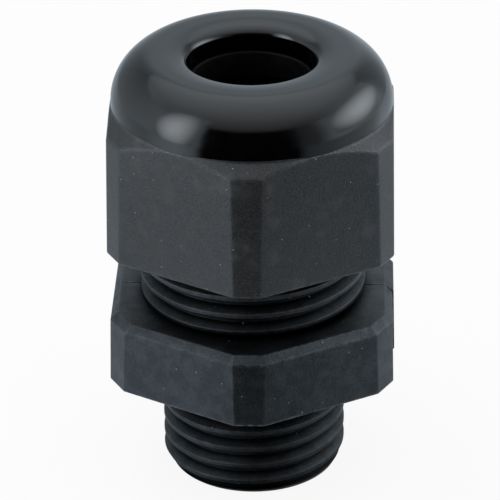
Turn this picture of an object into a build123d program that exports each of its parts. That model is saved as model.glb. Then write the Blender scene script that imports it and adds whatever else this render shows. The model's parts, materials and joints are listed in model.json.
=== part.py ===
from build123d import *
import os
from math import cos, radians, sin, sqrt, tan

# Cable gland reducer: a moulded gland whose connection thread is smaller than its cable end.
# A flanged body, a domed cap nut on its upper thread, and inside the nut a slotted
# clamping cage round a rubber sealing insert.
# Millimetres. Z is the cable's axis. Z = 0 is the seat under the flange, which meets the wall
# of the enclosure, and the cable enters from above through the dome.
# The flange has flats facing along X, so one corner faces along Y, and the nut stops just past it.
# Both hexagons are widest at the foot and lean inwards, so that they leave their moulds.

# Both hexagons, made for one spanner
spanner_size = 19.0
nut_undersize = 0.08
nut_rest_turn = 0.4

# Gland body, below the flange
connection_thread_diameter = 12.4
connection_thread_length = 8.0
connection_end_diameter = 11.4
connection_lead_in = 0.9
cable_bore_diameter = 9.0
bore_mouth_chamfer = 0.4

# Gland body, flange
flange_corner_width = 2.0
flange_height = 5.0
flange_chamfer = 0.5
flange_draft = 1.3

# Gland body, above the flange
cap_thread_diameter = 15.1
cap_thread_depth = 0.65
cap_thread_length = 7.9
cap_thread_lead_in = 0.4
seal_chamber_diameter = 11.8
seal_chamber_depth = 5.3

# Cap nut, outside
nut_gap = 4.5
nut_corner_width = 1.78
nut_height = 12.65
nut_edge_chamfer = 0.2
nut_draft = 0.9
dome_base_height = 9.21
dome_base_diameter = 18.56
dome_wall_height = 0.3
dome_wall_lean = 1.4
dome_corner_radius = 3.37
crown_arc_slope = 28
crown_dish_diameter = 11.1
crown_dish_depth = 0.33
corner_cone_angle = 40
cable_hole_diameter = 8.3
cable_hole_edge = 0.14

# Cap nut, inside
thread_clearance = 0.05
nut_entry_chamfer = 0.4
nut_crown_thickness = 1.6
thrust_cone_top_diameter = 10.7
closing_clearance = 0.1

# Clamping cage
finger_count = 10
finger_slot_width = 0.8
finger_root_height = 0.4
finger_tip_gap = 0.12
finger_tip_below_ceiling = 0.9
finger_thickness = 0.75
cage_ring_height = 0.8
cage_thread_clearance = 0.13
cage_spigot_length = 1.2
cage_spigot_clearance = 0.1

# Sealing insert
seal_hole_diameter = 7.8
seal_clearance = 0.1
seal_rib_count = 3
seal_groove_depth = 0.42
seal_edge_chamfer = 0.5

# Heights and radii that several pieces share
rim_height = flange_height + cap_thread_length
shoulder_height = rim_height - seal_chamber_depth
cap_thread_radius = cap_thread_diameter / 2
seal_chamber_radius = seal_chamber_diameter / 2
nut_base = flange_height + nut_gap
nut_bore_radius = cap_thread_radius + thread_clearance
nut_bore_height = cap_thread_length + cage_ring_height + closing_clearance
ceiling_height = nut_height - nut_crown_thickness
thrust_cone_top_radius = thrust_cone_top_diameter / 2
cage_inner_radius = seal_chamber_radius - cage_spigot_clearance - finger_thickness / sqrt(2)
seal_radius = cage_inner_radius - seal_clearance


def cut_corner_hexagon(across_flats, corner_width, height, draft):
    """A block with flats across X and its six corners cut off, which lean in half as much again."""
    corner_distance = across_flats / sqrt(3) - corner_width / (2 * sqrt(3))
    flats = RegularPolygon(across_flats / 2, 6, major_radius=False, rotation=30)
    corner_facets = RegularPolygon(corner_distance, 6, major_radius=False, rotation=0)
    return extrude(flats, height, taper=draft) & extrude(corner_facets, height, taper=1.5 * draft)


def turned(points):
    """A solid of revolution about Z from the corners of its half section, as (radius, height)."""
    return revolve(Plane.XZ * make_face(Polyline(*points, close=True)), Axis.Z)


def flange():
    """The hexagonal flange, bevelled along its upper edge only."""
    block = cut_corner_hexagon(spanner_size, flange_corner_width, flange_height, flange_draft)
    return chamfer(block.edges().group_by(Axis.Z)[-1], flange_chamfer)


def gland_body():
    """Flange, upper thread sleeve and connection thread in one moulding, bored through."""
    connection_radius = connection_thread_diameter / 2
    end_radius = connection_end_diameter / 2
    bore_radius = cable_bore_diameter / 2
    sleeve = turned([
        (0, flange_height / 2),
        (cap_thread_radius, flange_height / 2),
        (cap_thread_radius, rim_height - cap_thread_lead_in),
        (cap_thread_radius - cap_thread_lead_in, rim_height),
        (0, rim_height),
    ])
    connection = turned([
        (0, flange_height / 2),
        (connection_radius, flange_height / 2),
        (connection_radius, connection_lead_in - connection_thread_length),
        (end_radius, -connection_thread_length),
        (0, -connection_thread_length),
    ])
    passage = turned([
        (0, -connection_thread_length),
        (bore_radius + bore_mouth_chamfer, -connection_thread_length),
        (bore_radius, bore_mouth_chamfer - connection_thread_length),
        (bore_radius, shoulder_height),
        (seal_chamber_radius, shoulder_height),
        (seal_chamber_radius, rim_height),
        (0, rim_height),
    ])
    return flange() + sleeve + connection - passage


def nut_section():
    """Half section of the cap nut: cone over the corners, dome, dished crown, hole and cavity."""
    base_radius = dome_base_diameter / 2
    outer_radius = spanner_size / sqrt(3)
    cone_foot = dome_base_height - (outer_radius - base_radius) * tan(radians(corner_cone_angle))
    lean = radians(dome_wall_lean)
    slope = radians(crown_arc_slope)
    wall_top = (base_radius - dome_wall_height * tan(lean), dome_base_height + dome_wall_height)
    centre = (wall_top[0] - dome_corner_radius * cos(lean), wall_top[1] - dome_corner_radius * sin(lean))

    def dome_point(from_vertical):
        return (centre[0] + dome_corner_radius * sin(from_vertical), centre[1] + dome_corner_radius * cos(from_vertical))

    shoulder = dome_point(slope)
    crown_radius = (nut_height - shoulder[1]) / (1 - cos(slope))
    crown_edge = (shoulder[0] - crown_radius * sin(slope), nut_height)
    crown_middle = (crown_edge[0] + crown_radius * sin(slope / 2),
                    nut_height - crown_radius * (1 - cos(slope / 2)))
    hole_radius = cable_hole_diameter / 2
    dish_foot = nut_height - crown_dish_depth
    with BuildSketch(Plane.XZ) as section:
        with BuildLine():
            Polyline((nut_bore_radius + nut_entry_chamfer, 0), (outer_radius, 0), (outer_radius, cone_foot),
                     (base_radius, dome_base_height), wall_top)
            ThreePointArc(wall_top, dome_point((radians(90) - lean + slope) / 2), shoulder)
            ThreePointArc(shoulder, crown_middle, crown_edge)
            Polyline(crown_edge, (crown_dish_diameter / 2, nut_height),
                     (hole_radius + cable_hole_edge, dish_foot), (hole_radius, dish_foot - cable_hole_edge),
                     (hole_radius, ceiling_height), (thrust_cone_top_radius, ceiling_height),
                     (nut_bore_radius, nut_bore_height), (nut_bore_radius, nut_entry_chamfer),
                     (nut_bore_radius + nut_entry_chamfer, 0))
        make_face()
    return section.sketch


def dome_nut():
    """The cap nut at rest, a few turns down its thread, where its flats are not quite in line."""
    block = cut_corner_hexagon(spanner_size - nut_undersize, nut_corner_width, nut_height + 1, nut_draft)
    block = chamfer(block.edges().group_by(Axis.Z)[0], nut_edge_chamfer)
    return Pos(0, 0, nut_base) * Rot(0, 0, nut_rest_turn) * (block & revolve(nut_section(), Axis.Z))


def cage_finger_slots(bottom, top):
    """The cuts that part the cage's sleeve into springy fingers."""
    reach = cap_thread_radius
    slot = Pos(reach / 2, 0, (bottom + top) / 2) * Box(reach, finger_slot_width, top - bottom)
    return [Rot(0, 0, 360 * turn / finger_count) * slot for turn in range(finger_count)]


def clamping_cage():
    """A ring on the body's rim with a spigot in its mouth and tapered fingers up to the thrust cone."""
    ring_radius = cap_thread_radius - cap_thread_depth - cage_thread_clearance
    ring_top = rim_height + cage_ring_height
    tip_height = nut_base + ceiling_height - finger_tip_below_ceiling
    cone_slope = (nut_bore_radius - thrust_cone_top_radius) / (ceiling_height - nut_bore_height)
    tip_radius = thrust_cone_top_radius + finger_tip_below_ceiling * cone_slope - finger_tip_gap
    tip_bevel = (tip_radius - cage_inner_radius) / 2
    sleeve = turned([
        (cage_inner_radius, rim_height - cage_spigot_length),
        (seal_chamber_radius - cage_spigot_clearance, rim_height - cage_spigot_length),
        (seal_chamber_radius - cage_spigot_clearance, rim_height),
        (ring_radius, rim_height),
        (ring_radius, ring_top),
        (tip_radius, tip_height - tip_bevel),
        (tip_radius - tip_bevel, tip_height),
        (cage_inner_radius, tip_height),
    ])
    return sleeve - cage_finger_slots(ring_top + finger_root_height, tip_height + 1)


def sealing_insert():
    """A rubber sleeve from the body's shoulder to the nut's ceiling, with ribs round its hole."""
    foot = shoulder_height + seal_clearance
    head = nut_base + ceiling_height - seal_clearance
    sleeve = turned([
        (seal_hole_diameter / 2, foot),
        (seal_radius, foot),
        (seal_radius, head - seal_edge_chamfer),
        (seal_radius - seal_edge_chamfer, head),
        (seal_hole_diameter / 2, head),
    ])
    spacing = (head - foot) / (2 * seal_rib_count + 1)
    groove_radius = seal_hole_diameter / 2 + seal_groove_depth
    for rib in range(seal_rib_count):
        middle = foot + spacing * (2 * rib + 1.5)
        sleeve -= Pos(0, 0, middle) * Cylinder(groove_radius, spacing)
    return sleeve


os.makedirs("parts", exist_ok=True)
pieces = {
    "gland_body": gland_body(),
    "dome_nut": dome_nut(),
    "clamping_cage": clamping_cage(),
    "sealing_insert": sealing_insert(),
}
for name, piece in pieces.items():
    piece.label = name
    export_step(piece, f"parts/{name}.step")
    box = piece.bounding_box()
    print(f"{name}: {piece.volume:.1f} mm3, z {box.min.Z:.2f} to {box.max.Z:.2f}, "
          f"x {box.min.X:.2f} to {box.max.X:.2f}, y {box.min.Y:.2f} to {box.max.Y:.2f}")
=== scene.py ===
# %% [markdown]
# Cable gland reducer: the looks.
#
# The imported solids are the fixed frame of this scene. They have the right sizes, but their threads
# are plain cylinders and their edges are sharp. Here each of the four pieces is modelled again with
# real helical threads, moulded edges and a finish of its own, exactly where its solid stands.

# %% Load the frame
import json
from math import atan, atan2, cos, hypot, pi, radians, sin, sqrt, tan

import bmesh
import bpy
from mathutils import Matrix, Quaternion, Vector

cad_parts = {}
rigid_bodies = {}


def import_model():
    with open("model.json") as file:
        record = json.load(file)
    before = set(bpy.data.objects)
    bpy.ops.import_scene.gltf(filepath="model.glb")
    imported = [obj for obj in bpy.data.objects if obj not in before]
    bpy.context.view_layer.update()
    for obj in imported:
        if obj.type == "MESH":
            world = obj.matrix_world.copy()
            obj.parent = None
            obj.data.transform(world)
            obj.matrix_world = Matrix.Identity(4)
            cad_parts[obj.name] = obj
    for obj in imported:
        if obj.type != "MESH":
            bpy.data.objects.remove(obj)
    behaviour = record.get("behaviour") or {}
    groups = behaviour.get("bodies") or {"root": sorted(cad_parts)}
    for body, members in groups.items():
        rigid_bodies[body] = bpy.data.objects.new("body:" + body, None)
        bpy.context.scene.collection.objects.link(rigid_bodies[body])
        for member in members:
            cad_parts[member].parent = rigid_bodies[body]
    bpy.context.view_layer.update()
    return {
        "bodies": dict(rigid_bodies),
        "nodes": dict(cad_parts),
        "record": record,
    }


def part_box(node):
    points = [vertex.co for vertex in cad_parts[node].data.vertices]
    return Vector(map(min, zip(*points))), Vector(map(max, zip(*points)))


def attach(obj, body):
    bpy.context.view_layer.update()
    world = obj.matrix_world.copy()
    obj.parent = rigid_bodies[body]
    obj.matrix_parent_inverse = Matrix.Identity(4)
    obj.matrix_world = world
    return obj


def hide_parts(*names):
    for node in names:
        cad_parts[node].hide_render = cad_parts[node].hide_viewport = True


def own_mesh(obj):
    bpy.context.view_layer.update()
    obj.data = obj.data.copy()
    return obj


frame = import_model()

MILLIMETRE = 0.001


# %% [markdown]
# Sizes. A gland is small, and Blender's tools work best on objects a few units across, so the
# pieces are modelled in millimetres and brought down to metres at the very end. What the solids
# already say is not typed in again, or the two could drift apart: heights are read from their
# boxes, and the radii of the lower thread and of the bores from the record's mounts. All other
# sizes stand in the cell that needs them first.

# %% Sizes from the frame
def solid_range(node):
    """Lowest and highest corner of a solid, in millimetres."""
    low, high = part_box(node)
    return low / MILLIMETRE, high / MILLIMETRE


body_low, body_high = solid_range("gland_body")
nut_low, nut_high = solid_range("dome_nut")
cage_low, cage_high = solid_range("clamping_cage")
seal_low, seal_high = solid_range("sealing_insert")
mounts = {mount["name"]: mount for mount in frame["record"]["mounts"]}

spanner_size = body_high.x - body_low.x
connection_end_z = body_low.z
rim_z = body_high.z
nut_base_z = nut_low.z
nut_top_z = nut_high.z

print("spanner size", round(spanner_size, 2), "rim at", round(rim_z, 2))
print("nut from", round(nut_base_z, 2), "to", round(nut_top_z, 2), "mounts", sorted(mounts))

# %% [markdown]
# Helpers for selecting. Each does what a person does with the mouse: make one object active, go
# into edit mode and pick edges or faces by where they are. Everything is deselected first, because
# an operator acts on all that is selected. Picking by place is safer than picking by number,
# because the numbers of edges and faces change with every step before.

# %% Helpers for selecting
SAME_PLACE = 0.01


def activate(piece):
    """Object mode, with this piece alone selected and active."""
    if bpy.context.mode != "OBJECT":
        bpy.ops.object.mode_set(mode="OBJECT")
    bpy.ops.object.select_all(action="DESELECT")
    bpy.context.view_layer.objects.active = piece
    piece.select_set(True)


def clear_selection():
    """Object mode with nothing selected, ready for a new primitive."""
    activate(frame["bodies"]["gland_body"])
    bpy.ops.object.select_all(action="DESELECT")


def open_mesh(piece, domain="VERT"):
    """Edit mode on this piece, with nothing selected."""
    activate(piece)
    bpy.ops.object.mode_set(mode="EDIT")
    bpy.ops.mesh.select_mode(type=domain)
    bpy.ops.mesh.select_all(action="DESELECT")


def pick(piece, domain, test):
    """Selects the vertices, edges or faces that pass the test, and returns how many there are."""
    open_mesh(piece, domain)
    mesh = bmesh.from_edit_mesh(piece.data)
    mesh.normal_update()
    elements = {"VERT": mesh.verts, "EDGE": mesh.edges, "FACE": mesh.faces}[domain]
    chosen = [element for element in elements if test(element)]
    for element in chosen:
        element.select_set(True)
    mesh.select_flush_mode()
    bmesh.update_edit_mesh(piece.data)
    return len(chosen)


clear_selection()

# %% [markdown]
# Helpers for pieces. Every piece here is one closed skin with its faces outwards, because only then
# do cuts and unions work and does light fall right. So each step ends with merging doubles and
# turning the normals, and triangles and open edges are counted where a piece is done.

# %% Helpers for pieces
MERGE_DISTANCE = 0.002
FINE_MERGE_DISTANCE = 0.001


def tidy_mesh(piece, distance=MERGE_DISTANCE):
    """Merges doubles and turns the faces outwards."""
    open_mesh(piece)
    bpy.ops.mesh.select_all(action="SELECT")
    bpy.ops.mesh.remove_doubles(threshold=distance)
    bpy.ops.mesh.normals_make_consistent(inside=False)
    bpy.ops.object.mode_set(mode="OBJECT")
    return piece


def with_modifier(piece, kind, **settings):
    """Adds a modifier, sets it and applies it."""
    activate(piece)
    modifier = piece.modifiers.new(kind.title(), kind)
    for name, value in settings.items():
        setattr(modifier, name, value)
    bpy.ops.object.modifier_apply(modifier=modifier.name)
    return piece


def combine(piece, tool, operation):
    """Unites, cuts or intersects a piece with a tool piece, which is used up."""
    with_modifier(piece, "BOOLEAN", operation=operation, object=tool, solver="EXACT")
    bpy.data.objects.remove(tool)
    return piece


def new_piece(name):
    """Names the primitive that was just added."""
    piece = bpy.context.active_object
    piece.name = name
    piece.data.name = name
    return piece


def count(piece):
    """Triangles, and whether every edge has two faces."""
    mesh = bmesh.new()
    mesh.from_mesh(piece.data)
    triangles = sum(len(face.verts) - 2 for face in mesh.faces)
    closed = all(len(edge.link_faces) == 2 for edge in mesh.edges)
    mesh.free()
    return f"{piece.name}: {triangles} triangles, {'closed' if closed else 'open'}"


print("the solids:", [count(solid) for solid in frame["nodes"].values()])

# %% [markdown]
# Outlines. A turned piece is the half section seen from the side, swept round the axis. The half
# section is drawn the way one draws it by hand: a single point, extruded from corner to corner.
# A stack of cylinders would need a union at every step, while one section gives one closed skin.
# Its sharp corners are first rounded with short arcs, because no moulded edge is truly sharp.

# %% Rounded outlines
LONGEST_ROUNDING = 0.45


def rounded(points, radius, steps=3, closed=False):
    """The same corners, each replaced by a short arc of this radius, as (radius, height)."""
    corners = [Vector(point) for point in points]
    size = len(corners)
    result = []
    for index, corner in enumerate(corners):
        if not closed and index in (0, size - 1):
            result.append(corner)
            continue
        before = corners[index - 1] - corner
        after = corners[(index + 1) % size] - corner
        half = before.angle(after) / 2
        longest = LONGEST_ROUNDING * min(before.length, after.length)
        reach = min(radius / tan(half), longest)
        start = corner + before.normalized() * reach
        end = corner + after.normalized() * reach
        for step in range(steps + 1):
            share = step / steps
            bend = corner * 2 * share * (1 - share)
            result.append(start * (1 - share) ** 2 + bend + end * share ** 2)
    return [tuple(point) for point in result]


soft_corner = rounded([(1, 0), (1, 1), (0, 1)], 0.3)
print("a square corner, rounded:", [(round(x, 2), round(z, 2)) for x, z in soft_corner])

# %% Drawn and turned pieces
TURNED_STEPS = 128


def drawn(name, points, closed=False):
    """An outline in the plane of X and Z, extruded point by point."""
    clear_selection()
    bpy.ops.mesh.primitive_plane_add(size=1, location=(0, 0, 0))
    outline = new_piece(name)
    open_mesh(outline)
    bpy.ops.mesh.select_all(action="SELECT")
    bpy.ops.mesh.merge(type="CENTER")
    bpy.ops.transform.translate(value=(points[0][0], 0, points[0][1]))
    for (radius, height), (next_radius, next_height) in zip(points, points[1:]):
        step = (next_radius - radius, 0, next_height - height)
        bpy.ops.mesh.extrude_region_move(TRANSFORM_OT_translate={"value": step})
    if closed:
        ends = (points[0], points[-1])
        pick(outline, "VERT", lambda vertex: any(
            hypot(vertex.co.x - x, vertex.co.z - z) < 1e-5 for x, z in ends))
        bpy.ops.mesh.edge_face_add()
    bpy.ops.object.mode_set(mode="OBJECT")
    return outline


def turned(name, points, steps=TURNED_STEPS, closed=False):
    """A solid of revolution about Z from its outline."""
    piece = drawn(name, points, closed)
    open_mesh(piece)
    bpy.ops.mesh.select_all(action="SELECT")
    bpy.ops.mesh.spin(steps=steps, angle=2 * pi, center=(0, 0, 0), axis=(0, 0, 1))
    bpy.ops.object.mode_set(mode="OBJECT")
    return tidy_mesh(piece)


print("turned pieces have", TURNED_STEPS, "steps round the axis")

# %% [markdown]
# The camera. It looks as the photograph does: from a little to the right of the front corner, down
# at about 28 degrees through a long lens, and very slightly rolled. It could be placed by eye, but
# angles are easier to compare with a photograph, so its place is worked out from them, from the
# distance and from the point beside the axis that it looks at.

# %% Camera
camera_azimuth = radians(1.91)
camera_elevation = radians(28.11)
camera_roll = radians(0.44)
camera_distance = 220.0
camera_lens = 235.65
aim_height = 7.57
aim_left_of_axis = 0.195


def direction_to(azimuth, elevation):
    """The direction from the gland to a place at these angles, of which azimuth 0 is the front."""
    return Vector((sin(azimuth) * cos(elevation), -cos(azimuth) * cos(elevation), sin(elevation)))


camera_right = Vector((cos(camera_azimuth), sin(camera_azimuth), 0))
camera_back = direction_to(camera_azimuth, camera_elevation)
aim = Vector((0, 0, aim_height)) - camera_right * aim_left_of_axis

camera_data = bpy.data.cameras.new("Camera")
camera_data.sensor_width = 36
camera_data.lens = camera_lens
camera_data.clip_start = 0.01
camera_data.clip_end = 10
camera = bpy.data.objects.new("Camera", camera_data)
bpy.context.scene.collection.objects.link(camera)
camera.location = (aim + camera_back * camera_distance) * MILLIMETRE
camera.rotation_mode = "QUATERNION"
level_view = (-camera_back).to_track_quat("-Z", "Y")
camera.rotation_quaternion = level_view @ Quaternion((0, 0, 1), -camera_roll)
bpy.context.scene.camera = camera
print("camera at", [round(value, 4) for value in camera.location])

# %% [markdown]
# Threads. A thread is one tooth outline that climbs by its pitch at every turn. A stack of rings
# would be quicker, but rings don't climb, and where the threads leave the nut and the flange the
# eye sees that at once. So it is made as such: the outline of a single turn goes through a Screw
# modifier. The strip is longer than it has to be, and is bisected at both ends, which closes it
# into a rod. Both threads have the same pitch and are right-handed.

# %% Threaded rod
thread_pitch = 1.27
thread_crest_flat = 0.30
thread_root_flat = 0.20
thread_edge_radius = 0.07
thread_flank = (thread_pitch - thread_crest_flat - thread_root_flat) / 2


def tooth(crest_radius, depth, crest_z, swelling):
    """One pitch of thread, from the middle of one groove to the middle of the next."""
    root_radius = crest_radius - depth
    heights = [0, thread_root_flat / 2 - swelling, thread_root_flat / 2 + thread_flank - swelling]
    heights += [thread_pitch - height for height in reversed(heights)]
    radii = [root_radius, root_radius, crest_radius, crest_radius, root_radius, root_radius]
    corners = [(radius, crest_z - thread_pitch / 2 + height) for radius, height in zip(radii, heights)]
    return rounded(corners, thread_edge_radius)


def threaded_rod(name, crest_radius, depth, front_crest_z, low, high, swelling=0.0, steps=120):
    """A rod with a thread whose crest passes the front corner at this height, cut off at both ends.

    Swelling makes its teeth thicker on both flanks, as on a tap that has to leave some clearance.
    """
    crest_z = front_crest_z + thread_pitch / 4
    while crest_z > low - 2 * thread_pitch:
        crest_z -= thread_pitch
    turns = int((high - low) / thread_pitch) + 5
    rod = drawn(name, tooth(crest_radius, depth, crest_z, swelling))
    with_modifier(rod, "SCREW", axis="Z", angle=2 * pi, screw_offset=thread_pitch, iterations=turns,
                  steps=steps, render_steps=steps, use_merge_vertices=True,
                  merge_threshold=FINE_MERGE_DISTANCE)
    tidy_mesh(rod, FINE_MERGE_DISTANCE)
    for height, direction in ((low, 1), (high, -1)):
        open_mesh(rod)
        bpy.ops.mesh.select_all(action="SELECT")
        bpy.ops.mesh.bisect(plane_co=(0, 0, height), plane_no=(0, 0, direction), use_fill=True,
                            clear_inner=True)
    bpy.ops.object.mode_set(mode="OBJECT")
    return tidy_mesh(rod, FINE_MERGE_DISTANCE)


print("each flank climbs", round(thread_flank, 3), "of the pitch of", thread_pitch)

# %% [markdown]
# The flange. It is a hexagon whose corners are cut to short facets, bevelled along its upper edge.
# Both the flats and the corners lean inwards a little, so that the moulding leaves its mould. A
# cylinder with bevelled corners can't have two leans, so the block is made as the part that two
# six-sided cones share, one for the flats and one for the corners. The two halves of the mould meet
# in the plane of X and Z and leave a fine line across the flange, and the rear half stands a hair
# further out on one side.

# %% Hexagonal block
NEARLY_FLAT = radians(0.5)


def is_upright(edge):
    """True for an edge that runs along Z and is longer than a millimetre."""
    low, high = sorted(vertex.co.z for vertex in edge.verts)
    return high - low > 0.99 * edge.calc_length() and edge.calc_length() > 1


def six_sided_cone(name, low, high, apothem, draft, turn):
    """A six-sided cone whose sides are this far from the axis at the foot and lean inwards."""
    clear_selection()
    height = high - low
    foot_radius = apothem / cos(pi / 6)
    head_radius = (apothem - height * tan(draft)) / cos(pi / 6)
    bpy.ops.mesh.primitive_cone_add(vertices=6, radius1=foot_radius, radius2=head_radius, depth=height,
                                    location=(0, 0, (low + high) / 2))
    cone = new_piece(name)
    bpy.ops.transform.rotate(value=turn, orient_axis="Z", center_override=(0, 0, 0))
    bpy.ops.object.transform_apply(location=True, rotation=True, scale=True)
    return cone


def hexagon_block(name, low, high, across_flats, corner_width, draft):
    """A hexagonal block with flats across X and cut corners, which lean in half as much again."""
    corner_distance = across_flats / sqrt(3) - corner_width / (2 * sqrt(3))
    block = six_sided_cone(name, low, high, across_flats / 2, draft, 0)
    corners = six_sided_cone("corners", low, high, corner_distance, atan(1.5 * tan(draft)), pi / 6)
    combine(block, corners, "INTERSECT")
    tidy_mesh(block, FINE_MERGE_DISTANCE)
    open_mesh(block)
    bpy.ops.mesh.select_all(action="SELECT")
    bpy.ops.mesh.dissolve_limited(angle_limit=NEARLY_FLAT)
    bpy.ops.object.mode_set(mode="OBJECT")
    return block


flange_height = 5.0
flange_corner_width = 2.0
flange_draft = radians(1.3)
flange = hexagon_block("flange", 0, flange_height, spanner_size, flange_corner_width, flange_draft)
print(count(flange))

# %% Flange edges and parting line
flange_chamfer = 0.5
flange_edge_radius = 0.07
parting_line_width = 0.09
parting_line_depth = 0.05
mould_offset = 0.1
right_flat_reach = 0.2
softest_edge = radians(20)
half_flat = spanner_size / 2

upper_z = flange_height - SAME_PLACE
pick(flange, "EDGE", lambda edge: all(vertex.co.z > upper_z for vertex in edge.verts))
bpy.ops.mesh.bevel(offset=flange_chamfer, segments=1, affect="EDGES")
pick(flange, "EDGE", lambda edge: edge.calc_face_angle(0) > softest_edge)
bpy.ops.mesh.bevel(offset=flange_edge_radius, segments=3, affect="EDGES")

for cut in (-parting_line_width / 2, 0, parting_line_width / 2):
    open_mesh(flange)
    bpy.ops.mesh.select_all(action="SELECT")
    bpy.ops.mesh.bisect(plane_co=(0, cut, 0), plane_no=(0, 1, 0))
pick(flange, "VERT", lambda vertex: abs(vertex.co.y) < SAME_PLACE)
sunk = (1 - parting_line_depth / half_flat, 1, 1 - parting_line_depth / flange_height)
bpy.ops.transform.resize(value=sunk, center_override=(0, 0, 0))
pick(flange, "VERT", lambda vertex: vertex.co.y > SAME_PLACE
     and vertex.co.x > half_flat - right_flat_reach)
bpy.ops.transform.translate(value=(mould_offset, 0, 0))
bpy.ops.object.mode_set(mode="OBJECT")
tidy_mesh(flange)
print(count(flange))

# %% [markdown]
# The body. Flange, upper sleeve and connection thread are one moulding. Pieces that only touch
# would show a seam where a thread runs into the flange, so they are truly united. First each
# threaded rod is trimmed to its lead-in taper with a turned blank, which leaves the thread running
# out as on a cut one. Then the rods join the flange, and the passage for the cable is cut out of
# the whole with a turned tool, as the mould's core pin leaves it. Blanks and tools are a little
# longer than what they trim, because a cut works badly where two faces lie in one plane.

# %% Body: upper sleeve
cap_crest_radius = 7.55
cap_thread_depth = 0.65
cap_lead_in = 0.4
cap_crest_z = 6.65
spare = 0.5

sleeve = threaded_rod("sleeve", cap_crest_radius, cap_thread_depth, cap_crest_z,
                      flange_height / 2, rim_z + spare)
sleeve_blank = turned("sleeve_blank", [
    (0, flange_height / 2 - spare),
    (cap_crest_radius + spare, flange_height / 2 - spare),
    (cap_crest_radius + spare, rim_z - cap_lead_in - spare),
    (cap_crest_radius - cap_lead_in, rim_z),
    (0, rim_z),
])
combine(sleeve, sleeve_blank, "INTERSECT")
print(count(sleeve))

# %% Body: connection thread
connection_crest_radius = mounts["connection_thread"]["dims"]["r_mm"]
connection_thread_depth = 0.62
connection_end_radius = 5.7
connection_lead_in = 0.9
connection_crest_z = -3.12

connection = threaded_rod("connection", connection_crest_radius, connection_thread_depth,
                          connection_crest_z, connection_end_z - spare, flange_height / 2)
taper = (connection_crest_radius - connection_end_radius) / connection_lead_in
connection_blank = turned("connection_blank", [
    (0, flange_height),
    (connection_crest_radius + spare, flange_height),
    (connection_crest_radius + spare, connection_end_z + connection_lead_in + spare / taper),
    (connection_end_radius, connection_end_z),
    (0, connection_end_z),
])
combine(connection, connection_blank, "INTERSECT")
print(count(connection))

# %% Body: one moulding with its passage
cable_bore_radius = mounts["cable_bore"]["dims"]["r_mm"]
bore_mouth_chamfer = 0.4
seal_chamber_radius = 5.9
seal_chamber_depth = 5.3
pin_reach = 1

body = flange
body.name = "body_moulding"
body.data.name = "body_moulding"
combine(body, sleeve, "UNION")
combine(body, connection, "UNION")
shoulder_z = rim_z - seal_chamber_depth
passage = turned("passage", [
    (0, connection_end_z - pin_reach),
    (cable_bore_radius + bore_mouth_chamfer + pin_reach, connection_end_z - pin_reach),
    (cable_bore_radius, connection_end_z + bore_mouth_chamfer),
    (cable_bore_radius, shoulder_z),
    (seal_chamber_radius, shoulder_z),
    (seal_chamber_radius, rim_z + pin_reach),
    (0, rim_z + pin_reach),
])
combine(body, passage, "DIFFERENCE")
tidy_mesh(body, FINE_MERGE_DISTANCE)
print(count(body))

# %% [markdown]
# The cap nut. Its outside could be cut from a turned blank, but cuts leave ragged edges that no
# bevel rounds well. Instead it is grown in one sheet of quads, from a hexagonal tube over the
# dome and its crown, down the hole and back down the inside.
#
# Its section is drawn first. The dome turns on a small radius into a wide, flatter crown. The
# crown dips gently towards its hole and then rolls over a soft lip into it. Each arc starts in the
# slope in which the one before ends, because a polished surface shows every kink as a hard line.

# %% Cap nut: dome and crown
dome_base_radius = 9.28
dome_base_height = 9.21
dome_base_z = nut_base_z + dome_base_height
dome_wall_height = 0.3
dome_wall_lean = radians(1.4)
dome_corner_radius = 3.37
crown_arc_slope = radians(28)
crown_dish_start = 5.9


def arc(centre, radius, start, end, steps):
    """Points along an arc, as (radius, height), with angles in radians from the horizontal."""
    angles = [start + (end - start) * step / steps for step in range(steps + 1)]
    return [(centre[0] + radius * cos(angle), centre[1] + radius * sin(angle)) for angle in angles]


wall_top = (dome_base_radius - dome_wall_height * tan(dome_wall_lean), dome_base_z + dome_wall_height)
dome_centre = (wall_top[0] - dome_corner_radius * cos(dome_wall_lean),
               wall_top[1] - dome_corner_radius * sin(dome_wall_lean))
dome_arc = arc(dome_centre, dome_corner_radius, dome_wall_lean, pi / 2 - crown_arc_slope, 22)
shoulder = dome_arc[-1]
crown_arc_radius = (nut_top_z - shoulder[1]) / (1 - cos(crown_arc_slope))
crown_centre = (shoulder[0] - crown_arc_radius * sin(crown_arc_slope), nut_top_z - crown_arc_radius)
crown_arc = arc(crown_centre, crown_arc_radius, pi / 2 - crown_arc_slope, pi / 2, 8)
flat_width = crown_dish_start - crown_centre[0]
crown_flat = [(crown_centre[0] + flat_width * share, nut_top_z) for share in (0.33, 0.67)]
print("the dome turns on", dome_corner_radius, "and the crown on", round(crown_arc_radius, 2))

# %% Cap nut: dish and lip
crown_dish_slope = radians(12)
lip_radius = 0.85
lip_slope = radians(60)
hole_edge_radius = 0.4
cable_hole_radius = mounts["cable_entry"]["dims"]["r_mm"]


def turning_down(start, radius, start_slope, end_slope, steps):
    """Points along an arc that goes on from a point on the crown and turns down towards the hole."""
    centre = (start[0] + radius * sin(start_slope), start[1] - radius * cos(start_slope))
    return arc(centre, radius, pi / 2 + start_slope, pi / 2 + end_slope, steps)[1:]


lip_end = cable_hole_radius + hole_edge_radius * (1 - sin(lip_slope))
dish_end = lip_end + lip_radius * (sin(lip_slope) - sin(crown_dish_slope))
crown_dish_radius = (crown_dish_start - dish_end) / sin(crown_dish_slope)
dish_top = (crown_dish_start, nut_top_z)
dish_arc = [dish_top] + turning_down(dish_top, crown_dish_radius, 0, crown_dish_slope, 6)
lip_arc = turning_down(dish_arc[-1], lip_radius, crown_dish_slope, lip_slope, 10)
hole_edge = turning_down(lip_arc[-1], hole_edge_radius, lip_slope, pi / 2, 4)
print("the hole's wall starts", round(nut_top_z - hole_edge[-1][1], 2), "below the crown")

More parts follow.
